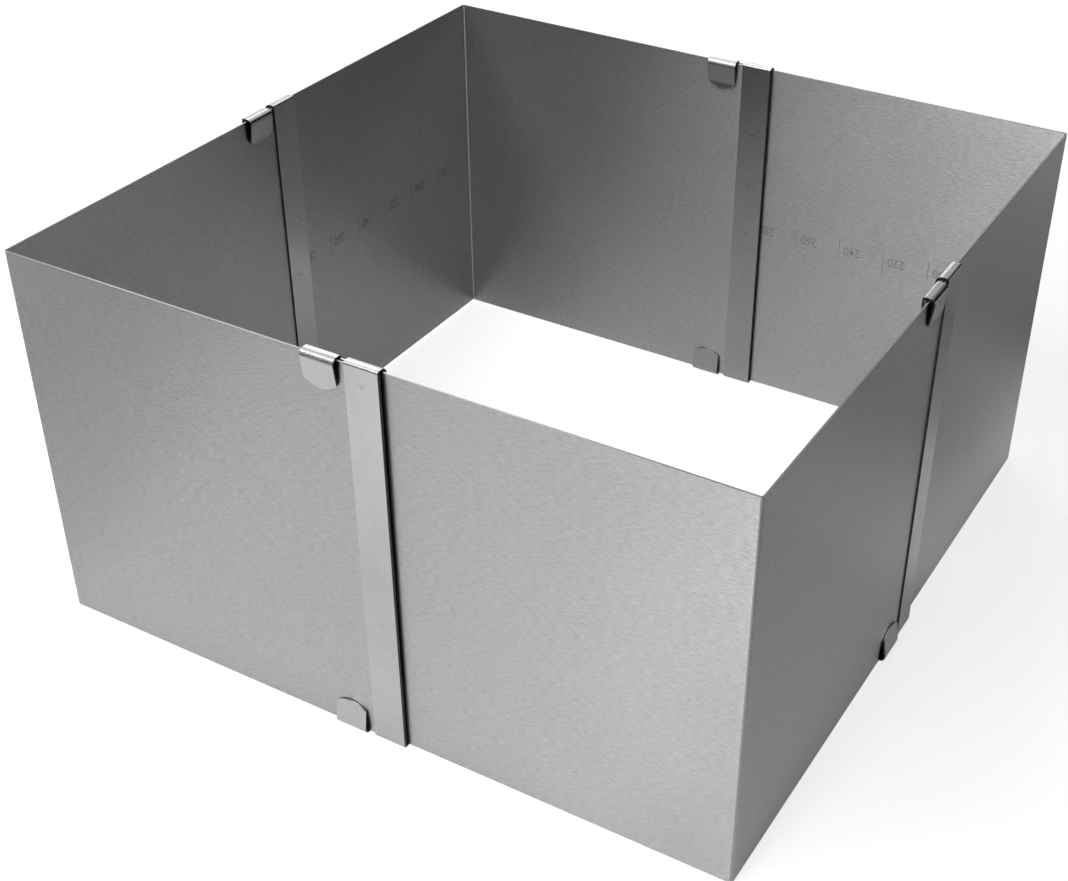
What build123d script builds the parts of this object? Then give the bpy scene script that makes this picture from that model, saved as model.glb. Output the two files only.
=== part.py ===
from build123d import *
import os

# Adjustable square cake frame, in millimetres with Z up.
#
# Four bent corner sheets stand in a ring. The outer leg of each one lies over the inner leg of the next,
# and a strap on the end of every leg hooks over the top and bottom edges of both sheets, so that each wall
# slides longer or shorter. The origin is at the middle of the frame, level with the undersides of the
# hooks that it stands on. The front wall faces -Y.

# Corner sheets
leg_length = 152.0            # from the outside of the bend to the free end, the same for both legs
sheet_height = 150.0
sheet_thickness = 0.6
corner_inside_radius = 0.6
sheet_clearance = 0.8         # between the outer and the inner sheet of a wall

# Straps, each one strip with a hook at the top and a hook at the bottom
strap_width = 12.5
strap_thickness = 0.6
edge_clearance = 0.3          # from the edges of the sheets to the hook that passes over them
tab_spread = 1.6              # how far the root of a tab stands off the sheet that it grips
tab_root_radius = 1.6         # inside radius of the bend at the root of a tab
tab_reach = 11.3              # from the edge of the sheet to the tip of the tab
tab_toe = 2.4                 # the last stretch of the tab, which lies flat beside the sheet
tab_toe_clearance = 0.3       # between the toe and the sheet
tab_toe_radius = 8.0          # inside radius of the slight bend where the toe starts
tab_end_rise = 2.5            # the end of a tab is an arc, whose middle stands this far beyond its ends
tab_corner_radius = 1.0       # where the arc meets the sides of the tab

# Spot welds down the middle of each strap, seen as shallow dimples
weld_count = 7
weld_margin = 5.5             # from the edge of the sheet to the first weld
weld_diameter = 2.6
weld_depth = 0.1

# The size that the frame is pulled out to
pull_left = 3.0               # how much further a wall slides before a tab meets a strap

# What follows from the sizes above
sheet_pitch = sheet_thickness + sheet_clearance
grip_depth = sheet_pitch + sheet_thickness    # from the strap's own face to the far face of what it grips
wall_overlap = 2 * strap_width + pull_left
wall_length = 2 * leg_length + sheet_pitch - wall_overlap
foot_height = edge_clearance + strap_thickness
quarter_turn = 90

# How far a cut runs past what it cuts, how nearly an edge has to match a length that it is picked by,
# and the largest share of a width that the rounding of its corners may take
cut_overrun = 1.0
match_share = 0.01
corner_share = 0.4


def corner_sheet():
    """One sheet bent in plan, with the outside of its bend at the origin and its legs along +X and +Y."""
    middle = sheet_thickness / 2
    bend = FilletPolyline(
        (leg_length, middle), (middle, middle), (middle, leg_length), radius=corner_inside_radius + middle
    )
    plan = trace(bend, line_width=sheet_thickness)
    return Pos(0, 0, foot_height) * extrude(plan, amount=sheet_height)


def strap_strip():
    """The bent strip: its width is along +X, its sheet at Y from zero up, the sheet's edge at Z zero."""
    middle = strap_thickness / 2
    tab_root = grip_depth + tab_spread + middle
    toe = grip_depth + tab_toe_clearance + middle
    web = edge_clearance + middle
    strip_line = FilletPolyline(
        (toe, sheet_height - tab_reach - cut_overrun),
        (toe, sheet_height - tab_reach + tab_toe),
        (tab_root, sheet_height + web),
        (-middle, sheet_height + web),
        (-middle, -web),
        (tab_root, -web),
        (toe, tab_reach - tab_toe),
        (toe, tab_reach + cut_overrun),
        radius=[
            tab_toe_radius + middle,
            tab_root_radius + middle,
            web,
            web,
            tab_root_radius + middle,
            tab_toe_radius + middle,
        ],
    )
    profile = trace(strip_line, line_width=strap_thickness)
    return extrude(Plane.YZ * profile, amount=strap_width)


def tab_end_waste():
    """What is cut away past the arc at the end of the lower tab."""
    half_width = strap_width / 2
    end_radius = (half_width**2 + tab_end_rise**2) / (2 * tab_end_rise)
    depth = tab_spread + strap_thickness
    block = Box(
        strap_width + 2 * cut_overrun,
        depth,
        end_radius + 2 * cut_overrun,
        align=(Align.CENTER, Align.MIN, Align.MIN),
    )
    arc = Rot(quarter_turn, 0, 0) * Cylinder(end_radius, 2 * (depth + cut_overrun))
    return Pos(half_width, grip_depth, tab_reach - end_radius) * (block - arc)


def rounded_tabs(strip):
    """Cuts the end of each tab to its arc and rounds the two corners there.

    The corners are the only edges that run straight across the thickness of the strip.
    """
    lower_waste = tab_end_waste()
    upper_waste = mirror(lower_waste, about=Plane.XY.offset(sheet_height / 2))
    cut_strip = strip - [lower_waste, upper_waste]
    tab_corners = cut_strip.edges().filter_by(
        lambda edge: abs(edge.length - strap_thickness) < match_share * strap_thickness
    )
    return fillet(tab_corners, radius=min(tab_corner_radius, corner_share * strap_width))


def weld_dimples():
    """Balls that touch into the open face of the strap, one at each spot weld."""
    weld_radius = weld_diameter / 2
    ball_radius = (weld_radius**2 + weld_depth**2) / (2 * weld_depth)
    weld_spacing = (sheet_height - 2 * weld_margin) / (weld_count - 1)
    ball_place = weld_depth - strap_thickness - ball_radius
    return [
        Pos(strap_width / 2, ball_place, weld_margin + number * weld_spacing) * Sphere(ball_radius)
        for number in range(weld_count)
    ]


def hooked_strap():
    """One finished strap, ready to be laid on the end of a leg."""
    return Pos(0, 0, foot_height) * (rounded_tabs(strap_strip()) - weld_dimples())


# The front left corner, from which the other three are turned
strap = hooked_strap()
strap_start = leg_length - strap_width
sheet = corner_sheet()
outer_strap = Pos(strap_start, 0, 0) * strap
inner_strap = Pos(sheet_thickness, strap_start, 0) * Rot(0, 0, quarter_turn) * strap
bend_place = Pos(sheet_pitch - wall_length / 2, -wall_length / 2, 0)

os.makedirs("parts", exist_ok=True)
corner_names = ["front_left", "front_right", "back_right", "back_left"]
wall_names = ["front", "right", "back", "left"]
for number, corner_name in enumerate(corner_names):
    corner_place = Rot(0, 0, number * quarter_turn) * bend_place
    export_step(corner_place * sheet, f"parts/{corner_name}_corner_sheet.step")
    export_step(corner_place * outer_strap, f"parts/{wall_names[number]}_wall_outer_strap.step")
    export_step(corner_place * inner_strap, f"parts/{wall_names[number - 1]}_wall_inner_strap.step")
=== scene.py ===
import math

import bpy
from mathutils import Matrix, Vector


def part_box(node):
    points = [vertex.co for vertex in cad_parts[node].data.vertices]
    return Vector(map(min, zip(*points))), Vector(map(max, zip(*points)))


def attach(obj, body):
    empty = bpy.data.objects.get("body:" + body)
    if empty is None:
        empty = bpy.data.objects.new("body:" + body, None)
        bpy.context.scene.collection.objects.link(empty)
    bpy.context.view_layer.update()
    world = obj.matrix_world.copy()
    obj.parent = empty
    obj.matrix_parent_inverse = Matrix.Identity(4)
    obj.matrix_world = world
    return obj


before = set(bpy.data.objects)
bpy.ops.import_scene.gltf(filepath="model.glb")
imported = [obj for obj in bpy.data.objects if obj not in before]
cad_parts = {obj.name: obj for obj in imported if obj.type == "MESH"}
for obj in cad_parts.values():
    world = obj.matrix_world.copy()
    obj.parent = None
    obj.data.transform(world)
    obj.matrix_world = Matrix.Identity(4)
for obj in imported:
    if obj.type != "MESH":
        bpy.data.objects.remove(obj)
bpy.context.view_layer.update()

scene = bpy.context.scene
scene.view_settings.view_transform = "Standard"


# The camera stands where the photographer stood, to the front right of the frame and above it.
# Its place and its lens come from the eight corners of the frame in the photo.
image_width = 1068
image_height = 881
focal_pixels = 1681.5
middle_pixel = (596.5, 463.5)
camera_place = (0.2771, -0.4734, 0.4110)
camera_heading = math.radians(-29.39)
camera_dip = math.radians(34.68)
camera_roll = math.radians(0.75)

camera_data = bpy.data.cameras.new("camera")
camera_data.sensor_fit = "HORIZONTAL"
camera_data.lens = camera_data.sensor_width * focal_pixels / image_width
camera_data.shift_x = (image_width / 2 - middle_pixel[0]) / image_width
camera_data.shift_y = (middle_pixel[1] - image_height / 2) / image_width
camera_data.clip_start = 0.01
camera = bpy.data.objects.new("camera", camera_data)
scene.collection.objects.link(camera)
looking = Vector(
    (
        math.sin(camera_heading) * math.cos(camera_dip),
        math.cos(camera_heading) * math.cos(camera_dip),
        -math.sin(camera_dip),
    )
)
level_turn = looking.to_track_quat("-Z", "Y").to_matrix().to_4x4()
camera.matrix_world = Matrix.Translation(camera_place) @ level_turn @ Matrix.Rotation(camera_roll, 4, "Z")
scene.camera = camera


# The four corner sheets. Each is one piece of 0.6 mm stainless steel, cut from brushed stock with the grain
# lying level, bent once to a right angle and left bare. The sheared top and bottom edges are duller than the
# faces. The ends of the legs are painted near black, as painted shade for the gap at each seam.
def add_node(tree, kind, place, **settings):
    """A shader node of a kind at a place in its tree, with the settings given."""
    node = tree.nodes.new(kind)
    node.location = place
    for name, value in settings.items():
        setattr(node, name, value)
    return node


def feed(tree, socket, value):
    """Sets a socket to a number or a tuple, or links it from another socket."""
    if isinstance(value, bpy.types.NodeSocket):
        tree.links.new(value, socket)
    else:
        socket.default_value = value


def calculate(tree, operation, place, *values):
    """The result of a Math node."""
    node = add_node(tree, "ShaderNodeMath", place, operation=operation)
    for socket, value in zip(node.inputs, values):
        feed(tree, socket, value)
    return node.outputs[0]


def spread(tree, place, value, from_low, from_high, to_low, to_high):
    """A value carried smoothly from one range to another."""
    node = add_node(tree, "ShaderNodeMapRange", place, interpolation_type="SMOOTHSTEP")
    for socket, given in zip(node.inputs, (value, from_low, from_high, to_low, to_high)):
        feed(tree, socket, given)
    return node.outputs[0]


def new_group(name, inputs, outputs):
    """A shader node group with number and vector inputs and number outputs, and its two end nodes."""
    tree = bpy.data.node_groups.new(name, "ShaderNodeTree")
    for socket_name, default in inputs.items():
        kind = "NodeSocketVector" if isinstance(default, tuple) else "NodeSocketFloat"
        socket = tree.interface.new_socket(name=socket_name, in_out="INPUT", socket_type=kind)
        socket.default_value = default
    for socket_name in outputs:
        tree.interface.new_socket(name=socket_name, in_out="OUTPUT", socket_type="NodeSocketFloat")
    return tree, add_node(tree, "NodeGroupInput", (-1200, 0)), add_node(tree, "NodeGroupOutput", (900, 0))


def use_group(tree, group, place, **values):
    """Places a group in a material and feeds its inputs, where Some_name feeds the input Some name."""
    node = add_node(tree, "ShaderNodeGroup", place, node_tree=group)
    for name, value in values.items():
        feed(tree, node.inputs[name.replace("_", " ")], value)
    return node


# The span of the noise that counts. Outside it the effect stays at its least or at its most.
grain_range = (0.3, 0.7)
cloud_range = (0.35, 0.65)
scratches_per_band = 3.0


def noise(tree, place, point, scale, detail, roughness=0.5):
    """The values of a Noise node at a point."""
    node = add_node(tree, "ShaderNodeTexNoise", place, noise_dimensions="3D")
    feed(tree, node.inputs["Vector"], point)
    feed(tree, node.inputs["Scale"], scale)
    feed(tree, node.inputs["Detail"], detail)
    feed(tree, node.inputs["Roughness"], roughness)
    return node.outputs[0]


def stretched_point(tree, place, along, across, length, width):
    """A point whose unit is one scratch length one way and one scratch width the other way."""
    point = add_node(tree, "ShaderNodeCombineXYZ", (place[0] + 200, place[1]))
    feed(tree, point.inputs[0], calculate(tree, "DIVIDE", place, along, length))
    feed(tree, point.inputs[1], calculate(tree, "DIVIDE", (place[0], place[1] - 160), across, width))
    return point.outputs[0]


def brushed_grain():
    """The scratches of a brushing belt, and the longer bands that they make together.

    Along and Across are metres with the grain and across it.
    """
    sizes = {
        "Along": 0.0,
        "Across": 0.0,
        "Scratch length": 0.0028,
        "Scratch width": 0.0004,
        "Band width": 0.003,
    }
    tree, start, end = new_group("brushed grain", sizes, ["Scratches", "Bands"])
    along, across, length, width, band = (start.outputs[name] for name in sizes)
    fine = stretched_point(tree, (-900, 200), along, across, length, width)
    scratches = noise(tree, (-400, 200), fine, scale=1.0, detail=2.0, roughness=0.6)
    feed(tree, end.inputs["Scratches"], scratches)
    band_length = calculate(tree, "MULTIPLY", (-1000, -300), length, scratches_per_band)
    broad = stretched_point(tree, (-900, -200), along, across, band_length, band)
    feed(tree, end.inputs["Bands"], noise(tree, (-400, -200), broad, scale=1.0, detail=2.0))
    return tree


def handling_marks():
    """Where hands and cloths have been: soft clouds, with fine rubbing inside them."""
    sizes = {"Point": (0.0, 0.0, 0.0), "Cloud size": 0.05}
    tree, start, end = new_group("handling marks", sizes, ["Clouds"])
    scale = calculate(tree, "DIVIDE", (-900, -200), 1.0, start.outputs["Cloud size"])
    clouds = noise(tree, (-600, 100), start.outputs["Point"], scale, detail=3.0, roughness=0.55)
    feed(tree, end.inputs["Clouds"], spread(tree, (-300, 100), clouds, *cloud_range, 0.0, 1.0))
    return tree


def edge_band():
    """1 on a cut edge, where the size of Distance comes up to Reach, and 0 on the faces beside it."""
    sizes = {"Distance": 0.0, "Reach": 0.1, "Softness": 0.00002}
    tree, start, end = new_group("edge band", sizes, ["Edge"])
    size = calculate(tree, "ABSOLUTE", (-900, 100), start.outputs["Distance"])
    low = calculate(tree, "SUBTRACT", (-700, -100), start.outputs["Reach"], start.outputs["Softness"])
    feed(tree, end.inputs["Edge"], spread(tree, (-400, 100), size, low, start.outputs["Reach"], 0.0, 1.0))
    return tree


grain_group = brushed_grain()
marks_group = handling_marks()
edge_group = edge_band()


def new_metal(name):
    """A bare metal material: its tree and its Principled shader."""
    material = bpy.data.materials.new(name)
    material.use_nodes = True
    tree = material.node_tree
    tree.nodes.clear()
    shader = add_node(tree, "ShaderNodeBsdfPrincipled", (1400, 0))
    output = add_node(tree, "ShaderNodeOutputMaterial", (1700, 0))
    tree.links.new(shader.outputs[0], output.inputs[0])
    shader.inputs["Metallic"].default_value = 1.0
    return material, tree, shader


def bumps(tree, place, heights):
    """The normal left by heights laid one over the other, as pairs of a height and its depth in metres."""
    normal = None
    for number, (height, depth) in enumerate(heights):
        bump = add_node(tree, "ShaderNodeBump", (place[0] + 200 * number, place[1]))
        bump.inputs["Strength"].default_value = 1.0
        bump.inputs["Distance"].default_value = depth
        feed(tree, bump.inputs["Height"], height)
        if normal is not None:
            tree.links.new(normal, bump.inputs["Normal"])
        normal = bump.outputs[0]
    return normal


def fixed_direction(tree, place, direction):
    """A Combine XYZ node that holds a direction."""
    node = add_node(tree, "ShaderNodeCombineXYZ", place)
    for socket, share in zip(node.inputs, direction):
        socket.default_value = share
    return node.outputs[0]


sheet_grey = 0.50
sheet_grey_play = 0.06
sheet_cloud_play = 0.016
sheet_cloud_roughness = 0.01
sheet_roughness = 0.287
sheet_roughness_play = 0.01
sheet_roughness_upright = 1.0
sheet_grain_depth = 0.00012
sheet_wave_depth = 0.00006
sheet_wave_length = 0.045
cut_edge_grey = 0.42
# The near black of the leg ends is painted shade for the gap at each seam.
leg_end_painted_shade_grey = 0.10

# The steel is rougher across its grain. The direction is a little off the vertical, so that it gives the top
# and bottom edges a tangent too.
upright = (0.001, 0.001, 1.0)


def sheet_steel(name):
    """Brushed steel for one corner sheet, with its patterns measured from the outside of its own bend."""
    low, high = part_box(name)
    bend = Vector((max(low.x, high.x, key=abs), max(low.y, high.y, key=abs), low.z))
    leg_length = high.x - low.x
    sheet_height = high.z - low.z
    material, tree, shader = new_metal(name + "_steel")
    where = add_node(tree, "ShaderNodeTexCoord", (-1400, 0))
    from_bend = add_node(tree, "ShaderNodeMapping", (-1200, 0), vector_type="TEXTURE")
    from_bend.inputs["Location"].default_value = bend
    tree.links.new(where.outputs["Object"], from_bend.inputs["Vector"])
    split = add_node(tree, "ShaderNodeSeparateXYZ", (-1000, 0))
    tree.links.new(from_bend.outputs[0], split.inputs[0])
    one_leg = calculate(tree, "ABSOLUTE", (-800, 200), split.outputs[0])
    other_leg = calculate(tree, "ABSOLUTE", (-800, 0), split.outputs[1])
    around = calculate(tree, "SUBTRACT", (-600, 100), one_leg, other_leg)
    height = split.outputs[2]
    grain = use_group(tree, grain_group, (-300, 300), Along=around, Across=height)
    marks = use_group(tree, marks_group, (-300, 0), Point=from_bend.outputs[0])

    scratches = grain.outputs["Scratches"]
    grey = spread(tree, (0, 400), scratches, *grain_range, -sheet_grey_play, sheet_grey_play)
    clouded_grey = calculate(
        tree, "MULTIPLY_ADD", (0, 200), marks.outputs["Clouds"], sheet_cloud_play, sheet_grey
    )
    face_grey = calculate(tree, "ADD", (200, 300), grey, clouded_grey)
    from_bend_end = calculate(tree, "MAXIMUM", (-500, -300), one_leg, other_leg)
    end_of_leg = use_group(tree, edge_group, (-300, -300), Distance=from_bend_end, Reach=leg_length)
    from_middle = calculate(tree, "SUBTRACT", (-500, -500), height, sheet_height / 2)
    long_edge = use_group(tree, edge_group, (-300, -500), Distance=from_middle, Reach=sheet_height / 2)
    # At the ends of the legs, where the sheets meet at a seam, the grey is painted near black: painted shade
    # for the gap there. The top and bottom edges are only a little duller.
    edge_grey = spread(tree, (0, -300), end_of_leg.outputs[0], 0.0, 1.0, cut_edge_grey, leg_end_painted_shade_grey)
    cut = calculate(tree, "MAXIMUM", (0, -500), end_of_leg.outputs[0], long_edge.outputs[0])
    mixed = add_node(tree, "ShaderNodeMix", (500, 200), data_type="FLOAT")
    feed(tree, mixed.inputs["Factor"], cut)
    feed(tree, mixed.inputs["A"], face_grey)
    feed(tree, mixed.inputs["B"], edge_grey)
    tree.links.new(mixed.outputs[0], shader.inputs["Base Color"])

    bands = grain.outputs["Bands"]
    streaks = spread(tree, (0, 0), bands, *grain_range, -sheet_roughness_play, sheet_roughness_play)
    rubbed = calculate(
        tree, "MULTIPLY_ADD", (200, 0), marks.outputs["Clouds"], sheet_cloud_roughness, sheet_roughness
    )
    tree.links.new(calculate(tree, "ADD", (400, 0), streaks, rubbed), shader.inputs["Roughness"])

    wave = noise(tree, (0, -900), from_bend.outputs[0], 1 / sheet_wave_length, detail=1.0)
    normal = bumps(tree, (600, -400), [(wave, sheet_wave_depth), (scratches, sheet_grain_depth)])
    tree.links.new(normal, shader.inputs["Normal"])
    tree.links.new(fixed_direction(tree, (900, -600), upright), shader.inputs["Tangent"])
    shader.inputs["Anisotropic"].default_value = sheet_roughness_upright
    return material


corner_names = ["front_left", "front_right", "back_right", "back_left"]
for corner_name in corner_names:
    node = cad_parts[corner_name + "_corner_sheet"]
    node.data.materials.clear()
    node.data.materials.append(sheet_steel(node.name))


# The scales, one on the inside of each sliding leg, etched shallowly into the steel and greyer than it.
# A tick and a plain number every 20 mm give the inside length of the wall at the edge of the other sheet.
tick_pitch = 0.020
tick_height = 0.0095
tick_width = 0.00032
tick_end_share = 0.45
tick_bottom = 0.0725
digit_height = 0.0042
digit_width_share = 0.86
digit_boldness = 0.006
digit_bottom = 0.0752
digit_curve_steps = 3
digit_join_distance = 0.000001
number_gap = 0.0022
mark_depth = 0.00002
mark_rise = 0.00001
first_tick_from_bend = 0.0270
scale_numbers = [180, 200, 220, 240, 260, 280]
mark_grey = 0.24
mark_worn_grey = 0.36
mark_roughness = 0.31
mark_wear_size = 0.03


def deselect_all():
    bpy.ops.object.select_all(action="DESELECT")


def pick(obj):
    """Makes an object the only selected one, and the active one."""
    deselect_all()
    obj.select_set(True)
    bpy.context.view_layer.objects.active = obj


def keep_place_in_mesh(obj):
    pick(obj)
    bpy.ops.object.transform_apply(location=True, rotation=True, scale=True)


def etched_tick(distance):
    """One tick of a scale: a thin bar with round ends, lying flat at a distance along X."""
    middle = (distance, tick_bottom + tick_height / 2, mark_depth / 2)
    deselect_all()
    bpy.ops.mesh.primitive_cube_add(size=1.0, location=middle)
    tick = bpy.context.object
    tick.scale = (tick_width, tick_height, mark_depth)
    keep_place_in_mesh(tick)
    bpy.ops.object.mode_set(mode="EDIT")
    bpy.ops.mesh.select_mode(type="EDGE")
    bpy.ops.mesh.select_all(action="DESELECT")
    bpy.ops.object.mode_set(mode="OBJECT")
    for edge in tick.data.edges:
        ends = [tick.data.vertices[number].co for number in edge.vertices]
        edge.select = abs(ends[0].z - ends[1].z) > mark_depth / 2
    bpy.ops.object.mode_set(mode="EDIT")
    rounding = tick_width * tick_end_share
    bpy.ops.mesh.bevel(offset=rounding, offset_type="OFFSET", segments=4, affect="EDGES")
    bpy.ops.object.mode_set(mode="OBJECT")
    return tick


def etched_number(number, distance):
    """A number between its tick and the bend. From inside the frame it stands upside down, as in the photo.

    The flat scale is seen from its underside there, so that the number is mirrored here.
    """
    deselect_all()
    bpy.ops.object.text_add(location=(0.0, 0.0, 0.0))
    text = bpy.context.object
    text.data.body = str(number)
    text.data.extrude = 0.5
    text.data.offset = digit_boldness
    text.data.resolution_u = digit_curve_steps
    text.data.fill_mode = "BOTH"
    bpy.ops.object.convert(target="MESH")
    digits = bpy.context.object
    corners = [vertex.co for vertex in digits.data.vertices]
    low = Vector(min(co[axis] for co in corners) for axis in range(3))
    high = Vector(max(co[axis] for co in corners) for axis in range(3))
    size = digit_height / (high.y - low.y)
    narrowed = size * digit_width_share
    turned = Matrix.Diagonal((narrowed, -size, mark_depth / (high.z - low.z), 1.0))
    start = distance - number_gap - narrowed * (high.x - low.x)
    place = Vector((start, digit_bottom + digit_height, 0.0))
    digits.data.transform(Matrix.Translation(place) @ turned @ Matrix.Translation(-low))
    pick(digits)
    bpy.ops.object.mode_set(mode="EDIT")
    bpy.ops.mesh.select_all(action="SELECT")
    bpy.ops.mesh.remove_doubles(threshold=digit_join_distance)
    bpy.ops.mesh.normals_make_consistent(inside=False)
    bpy.ops.object.mode_set(mode="OBJECT")
    bpy.ops.object.shade_flat()
    return digits


def flat_scale():
    """The whole scale as one mesh, lying flat, with X the distance from the outside of the sheet's bend."""
    parts = []
    for number, value in enumerate(scale_numbers):
        distance = first_tick_from_bend + number * tick_pitch
        parts.append(etched_tick(distance))
        parts.append(etched_number(value, distance))
    deselect_all()
    for part in parts:
        part.select_set(True)
    bpy.context.view_layer.objects.active = parts[0]
    bpy.ops.object.join()
    return bpy.context.object


def etched_steel():
    """Steel darkened by the etching, worn away more in some places than in others."""
    material, tree, shader = new_metal("etched_mark_steel")
    where = add_node(tree, "ShaderNodeTexCoord", (-900, 0))
    wear = noise(tree, (-600, 0), where.outputs["Object"], 1 / mark_wear_size, detail=4.0, roughness=0.6)
    grey = spread(tree, (-300, 100), wear, *cloud_range, mark_grey, mark_worn_grey)
    tree.links.new(grey, shader.inputs["Base Color"])
    rough = spread(tree, (-300, -100), wear, *cloud_range, mark_roughness, sheet_roughness)
    tree.links.new(rough, shader.inputs["Roughness"])
    tree.links.new(fixed_direction(tree, (900, -600), upright), shader.inputs["Tangent"])
    shader.inputs["Anisotropic"].default_value = sheet_roughness_upright
    return material


# The marks rise a little from the inner face, because marks level with the steel would come out black.
sheet_thickness = 0.0006
quarter_turn = math.pi / 2
sheet_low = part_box("front_left_corner_sheet")[0]
scale_place = Vector((sheet_low.x, sheet_low.y + sheet_thickness + mark_rise, sheet_low.z))
stand_up = Matrix.Translation(scale_place) @ Matrix.Rotation(quarter_turn, 4, "X")
scale_pattern = flat_scale()
scale_pattern.data.materials.append(etched_steel())
for number, corner_name in enumerate(corner_names):
    turn = Matrix.Rotation(number * quarter_turn, 4, "Z")
    scale = scale_pattern.copy()
    scale.data = scale_pattern.data.copy()
    scale.name = corner_name + "_scale"
    scale.data.name = scale.name
    scene.collection.objects.link(scale)
    scale.data.transform(turn @ stand_up)
    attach(scale, corner_name + "_corner")
bpy.data.objects.remove(scale_pattern)


# The eight straps. Each is a narrow strip of the same steel with its grain along it, hooked over the top and
# the bottom edges of both sheets and spot-welded to the end of its own sheet in seven places.
strap_grey = 0.50
strap_grey_play = 0.015
strap_cloud_play = -0.03
strap_roughness = 0.26
strap_roughness_play = 0.01
strap_roughness_across = 0.7
strap_grain_depth = 0.000001
# The near black of the strap's cut sides is painted shade for the gap at the seam.
strap_side_painted_shade_grey = 0.08
strap_band_width = 0.0016
strap_cloud_size = 0.02
strap_thickness = 0.0006
foot_height = 0.0009
weld_count = 7
weld_margin = 0.0055
weld_mark_radius = 0.0013
weld_ring_play = -0.03
weld_point_play = -0.08
weld_ring_softness = 0.45
weld_point_reach = (0.15, 0.5)
faintest_weld = 0.25

# The rough way of a strap on the front or back wall, and of one on a side wall
across_strap = (1.0, 0.001, 0.001)
across_side_strap = (0.001, 1.0, 0.001)


def weld_marks():
    """The faint ring and dark point that each spot weld leaves, on the open face alone.

    Side, Depth and Height are metres on the strap, and First is the height of the lowest weld.
    """
    sizes = {"Side": 0.0, "Depth": 0.0, "Height": 0.0, "First": 0.0, "Pitch": 1.0, "Radius": 1.0}
    tree, start, end = new_group("weld marks", sizes, ["Ring", "Point"])
    side, depth, height, first, pitch, radius = (start.outputs[name] for name in sizes)
    above_first = calculate(tree, "SUBTRACT", (-1000, 200), height, first)
    steps = calculate(tree, "DIVIDE", (-800, 200), above_first, pitch)
    nearest = calculate(tree, "ROUND", (-600, 300), steps)
    step_share = calculate(tree, "SUBTRACT", (-500, 200), steps, nearest)
    above = calculate(tree, "MULTIPLY", (-400, 200), step_share, pitch)
    side_square = calculate(tree, "POWER", (-300, 300), side, 2.0)
    above_square = calculate(tree, "POWER", (-300, 100), above, 2.0)
    span = calculate(
        tree, "SQRT", (0, 200), calculate(tree, "ADD", (-200, 200), side_square, above_square)
    )
    share = calculate(tree, "DIVIDE", (100, 200), span, radius)
    off_ring = calculate(tree, "ABSOLUTE", (300, 300), calculate(tree, "SUBTRACT", (200, 300), share, 1.0))
    ring = spread(tree, (400, 300), off_ring, 0.0, weld_ring_softness, 1.0, 0.0)
    point = spread(tree, (400, 0), share, *weld_point_reach, 1.0, 0.0)
    chance = add_node(tree, "ShaderNodeTexWhiteNoise", (0, -200), noise_dimensions="1D")
    feed(tree, chance.inputs["W"], nearest)
    strength = spread(tree, (200, -200), chance.outputs["Value"], 0.0, 1.0, faintest_weld, 1.0)
    outside = calculate(tree, "LESS_THAN", (200, -400), depth, strap_thickness)
    shown = calculate(tree, "MULTIPLY", (400, -300), strength, outside)
    feed(tree, end.inputs["Ring"], calculate(tree, "MULTIPLY", (600, 300), ring, shown))
    feed(tree, end.inputs["Point"], calculate(tree, "MULTIPLY", (600, 0), point, shown))
    return tree


weld_group = weld_marks()


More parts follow.
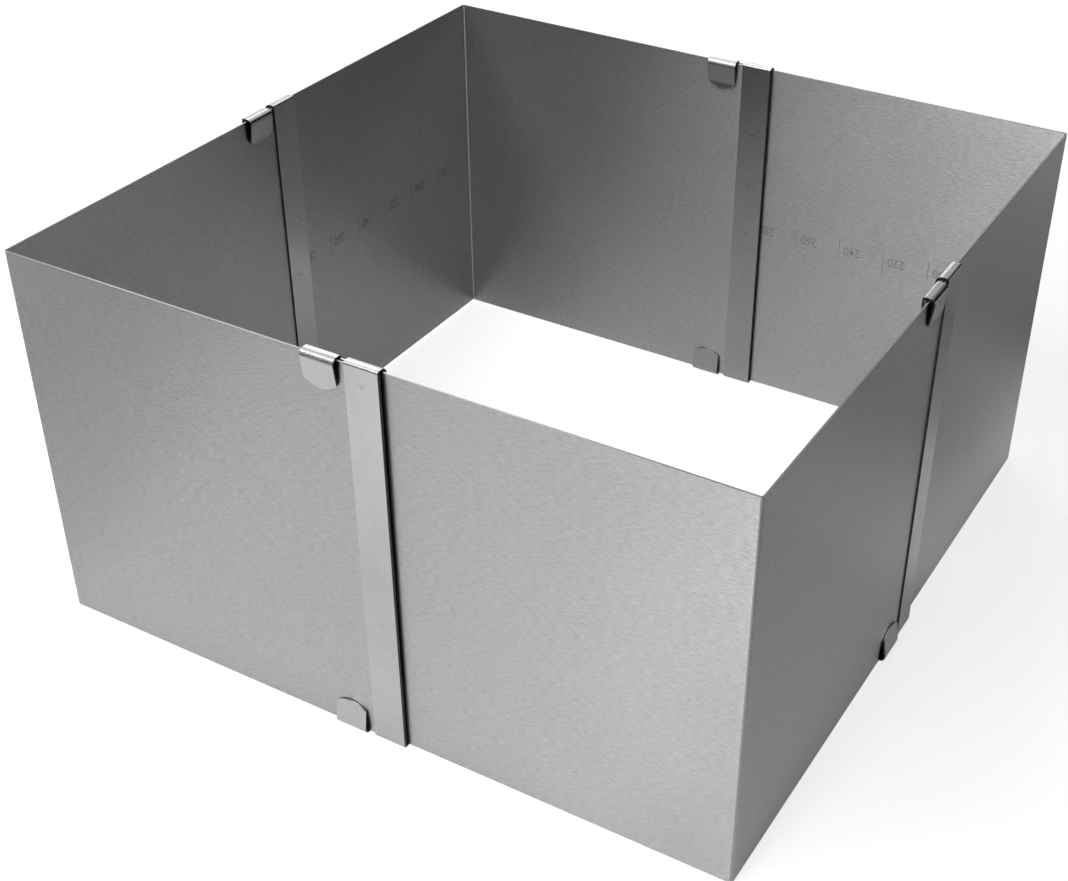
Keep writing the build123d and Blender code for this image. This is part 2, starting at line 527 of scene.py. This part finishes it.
def strap_steel(name, turn):
    """Brushed steel for one strap.

    Its patterns are measured from the middle of its open face: X across the strip, Y into the wall, Z up.
    """
    low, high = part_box(name)
    size = high - low
    on_side_wall = round(turn / quarter_turn) % 2 == 1
    width, depth = (size.y, size.x) if on_side_wall else (size.x, size.y)
    open_face = Vector(((low.x + high.x) / 2, (low.y + high.y) / 2, low.z))
    open_face += Matrix.Rotation(turn, 3, "Z") @ Vector((0.0, -depth / 2, 0.0))
    material, tree, shader = new_metal(name + "_steel")
    where = add_node(tree, "ShaderNodeTexCoord", (-1400, 0))
    on_strap = add_node(tree, "ShaderNodeMapping", (-1200, 0), vector_type="TEXTURE")
    on_strap.inputs["Location"].default_value = open_face
    on_strap.inputs["Rotation"].default_value = (0.0, 0.0, turn)
    tree.links.new(where.outputs["Object"], on_strap.inputs["Vector"])
    split = add_node(tree, "ShaderNodeSeparateXYZ", (-1000, 0))
    tree.links.new(on_strap.outputs[0], split.inputs[0])
    side, inward, height = split.outputs
    along = calculate(tree, "ADD", (-800, 200), inward, height)
    grain = use_group(
        tree, grain_group, (-400, 300), Along=along, Across=side, Band_width=strap_band_width
    )
    marks = use_group(
        tree, marks_group, (-400, 0), Point=on_strap.outputs[0], Cloud_size=strap_cloud_size
    )
    weld_pitch = (size.z - 2 * foot_height - 2 * weld_margin) / (weld_count - 1)
    welds = use_group(
        tree,
        weld_group,
        (-400, -300),
        Side=side,
        Depth=inward,
        Height=height,
        First=foot_height + weld_margin,
        Pitch=weld_pitch,
        Radius=weld_mark_radius,
    )
    lightest = strap_grey + strap_grey_play
    darkest = strap_grey - strap_grey_play
    scratches = grain.outputs["Scratches"]
    grey = spread(tree, (0, 400), scratches, *grain_range, darkest, lightest)
    clouded = calculate(tree, "MULTIPLY_ADD", (200, 300), marks.outputs["Clouds"], strap_cloud_play, grey)
    ringed = calculate(tree, "MULTIPLY_ADD", (400, 300), welds.outputs["Ring"], weld_ring_play, clouded)
    pointed = calculate(tree, "MULTIPLY_ADD", (600, 300), welds.outputs["Point"], weld_point_play, ringed)
    # The cut sides of the strap are painted near black: painted shade for the gap beside the strap at the
    # seam.
    cut_side = use_group(tree, edge_group, (-400, -600), Distance=side, Reach=width / 2)
    mixed = add_node(tree, "ShaderNodeMix", (900, 200), data_type="FLOAT")
    feed(tree, mixed.inputs["Factor"], cut_side.outputs[0])
    feed(tree, mixed.inputs["A"], pointed)
    feed(tree, mixed.inputs["B"], strap_side_painted_shade_grey)
    tree.links.new(mixed.outputs[0], shader.inputs["Base Color"])
    smoothest = strap_roughness - strap_roughness_play
    roughest = strap_roughness + strap_roughness_play
    rough = spread(tree, (0, 0), grain.outputs["Bands"], *grain_range, smoothest, roughest)
    tree.links.new(rough, shader.inputs["Roughness"])
    normal = bumps(tree, (600, -400), [(scratches, strap_grain_depth)])
    tree.links.new(normal, shader.inputs["Normal"])
    rough_way = across_side_strap if on_side_wall else across_strap
    tree.links.new(fixed_direction(tree, (900, -600), rough_way), shader.inputs["Tangent"])
    shader.inputs["Anisotropic"].default_value = strap_roughness_across
    return material


wall_names = ["front", "right", "back", "left"]
for number, wall_name in enumerate(wall_names):
    for side_name, half_turn in (("outer", 0.0), ("inner", math.pi)):
        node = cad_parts[wall_name + "_wall_" + side_name + "_strap"]
        node.data.materials.clear()
        node.data.materials.append(strap_steel(node.name, number * quarter_turn + half_turn))


# The table is a sheet of white paper much larger than the frame. To the camera it is white, with the frame's
# shadow on it. The steel mirrors it with painted light and painted shade on top: patches that glow only in
# the steel's reflections, a pool of light around the frame and in front of it, with darker patches inside it.
# Each patch of the pool is its middle, its half sizes and how much light it adds or takes away.
table_reach = 4.0
table_drop = 0.0002
paper_white = 0.8
paper_glow = 0.75

# Far from the frame the lamps fade, and the paper glows more to make up for it.
far_glow = 1.0
far_glow_reach = (0.4, 1.5)
glow_edge = 0.02
painted_reflection_patches = [
    ((0.0, 0.0), (0.24, 0.24), 0.26),
    ((0.0, 0.0), (0.14, 0.14), -0.13),
    ((-0.03, -0.19), (0.13, 0.05), 0.18),
    ((0.04, -0.32), (0.26, 0.08), 0.55),
    ((0.0, 0.60), (0.60, 0.20), 0.14),
    ((0.235, 0.185), (0.065, 0.055), -0.24),
    ((0.155, 0.13), (0.02, 0.09), 0.20),
]


def kinds_of_ray(tree, place):
    """Whether a ray comes straight to the camera, past glass or not, and whether it comes by way of metal."""
    path = add_node(tree, "ShaderNodeLightPath", place)
    camera_ray, glossy_ray, through_ray = (
        path.outputs[name] for name in ("Is Camera Ray", "Is Glossy Ray", "Is Transmission Ray")
    )
    return calculate(tree, "MAXIMUM", (place[0] + 200, place[1]), camera_ray, through_ray), glossy_ray


deselect_all()
bpy.ops.mesh.primitive_plane_add(size=2 * table_reach, location=(0.0, 0.0, -table_drop))
table = bpy.context.object
table.name = "table"
paper = bpy.data.materials.new("white_paper")
paper.use_nodes = True
tree = paper.node_tree
tree.nodes.clear()
output = add_node(tree, "ShaderNodeOutputMaterial", (600, 0))
both = add_node(tree, "ShaderNodeAddShader", (400, 0))
diffuse = add_node(tree, "ShaderNodeBsdfDiffuse", (200, 100))
diffuse.inputs["Color"].default_value = (paper_white, paper_white, paper_white, 1.0)
glow = add_node(tree, "ShaderNodeEmission", (200, -100))
straight, glossy_ray = kinds_of_ray(tree, (-400, 0))
where = add_node(tree, "ShaderNodeTexCoord", (-1400, -400))
from_middle = add_node(tree, "ShaderNodeVectorMath", (-1200, 200), operation="LENGTH")
tree.links.new(where.outputs["Object"], from_middle.inputs[0])
distance = from_middle.outputs["Value"]
even_glow = spread(tree, (-600, 200), distance, *far_glow_reach, paper_glow, far_glow)
seen_glow = calculate(tree, "MULTIPLY", (-50, 0), straight, even_glow)
split = add_node(tree, "ShaderNodeSeparateXYZ", (-1200, -400))
tree.links.new(where.outputs["Object"], split.inputs[0])
lit = 0.0
for number, (middle, half_size, level) in enumerate(painted_reflection_patches):
    inside = level
    for axis in range(2):
        row = -400 * (number + 1) - 200 * axis
        past_middle = calculate(tree, "SUBTRACT", (-1000, row), split.outputs[axis], middle[axis])
        off_middle = calculate(tree, "ABSOLUTE", (-800, row), past_middle)
        inner_edge = half_size[axis] - glow_edge
        outer_edge = half_size[axis] + glow_edge
        within = spread(tree, (-600, row), off_middle, inner_edge, outer_edge, 1.0, 0.0)
        inside = calculate(tree, "MULTIPLY", (-400, row), within, inside)
    lit = calculate(tree, "ADD", (-200, row), inside, lit)
# The patches glow only in rays that come by way of metal: painted light and painted shade in the steel's
# reflections.
strength = calculate(tree, "MULTIPLY_ADD", (50, -200), glossy_ray, lit, seen_glow)
tree.links.new(strength, glow.inputs["Strength"])
tree.links.new(diffuse.outputs[0], both.inputs[0])
tree.links.new(glow.outputs[0], both.inputs[1])
tree.links.new(both.outputs[0], output.inputs["Surface"])
table.data.materials.append(paper)


# The studio is a dark room with a light ceiling, which the steel mirrors, and large softboxes. Past the end
# of the table the camera sees white.
ceiling_in_steel = 1.5
ceiling_range = (0.5, 0.9)
lamp_aim = (0.0, 0.0, 0.05)
low_lamp_aim = (0.0, 0.0, 0.1)

world = bpy.data.worlds.new("studio")
scene.world = world
world.use_nodes = True
tree = world.node_tree
background = tree.nodes["Background"]
upward = add_node(tree, "ShaderNodeSeparateXYZ", (-1000, -200))
tree.links.new(add_node(tree, "ShaderNodeTexCoord", (-1200, -200)).outputs["Generated"], upward.inputs[0])
ceiling = spread(tree, (-800, -400), upward.outputs[2], *ceiling_range, 0.0, ceiling_in_steel)
straight, glossy_ray = kinds_of_ray(tree, (-800, 200))
in_steel = calculate(tree, "MULTIPLY", (-400, -200), glossy_ray, ceiling)
background.inputs["Color"].default_value = (1.0, 1.0, 1.0, 1.0)
tree.links.new(calculate(tree, "ADD", (-200, 0), straight, in_steel), background.inputs["Strength"])


def softbox(name, place, aim, width, height, power):
    """A rectangular lamp that points at a place. Its width lies level."""
    lamp = bpy.data.lights.new(name, "AREA")
    lamp.shape = "RECTANGLE"
    lamp.size = width
    lamp.size_y = height
    lamp.energy = power
    holder = bpy.data.objects.new(name, lamp)
    scene.collection.objects.link(holder)
    turn = (Vector(aim) - Vector(place)).to_track_quat("-Z", "Y")
    holder.matrix_world = Matrix.Translation(place) @ turn.to_matrix().to_4x4()


softbox("high front softbox", (-0.373, -0.646, 1.115), lamp_aim, width=0.35, height=0.5, power=3.6)
softbox("front softbox", (-0.09, -1.06, 0.796), lamp_aim, width=0.5, height=0.5, power=3.7)
softbox("low front softbox", (0.0, -1.256, 0.386), lamp_aim, width=0.35, height=0.5, power=2.8)
softbox("left softbox", (-1.087, -0.628, 0.386), lamp_aim, width=0.35, height=0.5, power=3.0)
softbox("wide back softbox", (-0.66, 1.15, 0.85), lamp_aim, width=1.5, height=0.7, power=1.6)
softbox("low right softbox", (1.03, 0.55, 0.12), low_lamp_aim, width=1.0, height=0.2, power=0.5)
softbox("left back softbox", (-0.72, 0.72, 0.82), lamp_aim, width=0.5, height=0.3, power=1.2)
softbox("back softbox", (-0.57, 1.42, 0.69), lamp_aim, width=0.5, height=0.3, power=1.2)
softbox("low back softbox", (-1.05, 1.05, 0.28), lamp_aim, width=1.1, height=0.4, power=3.0)
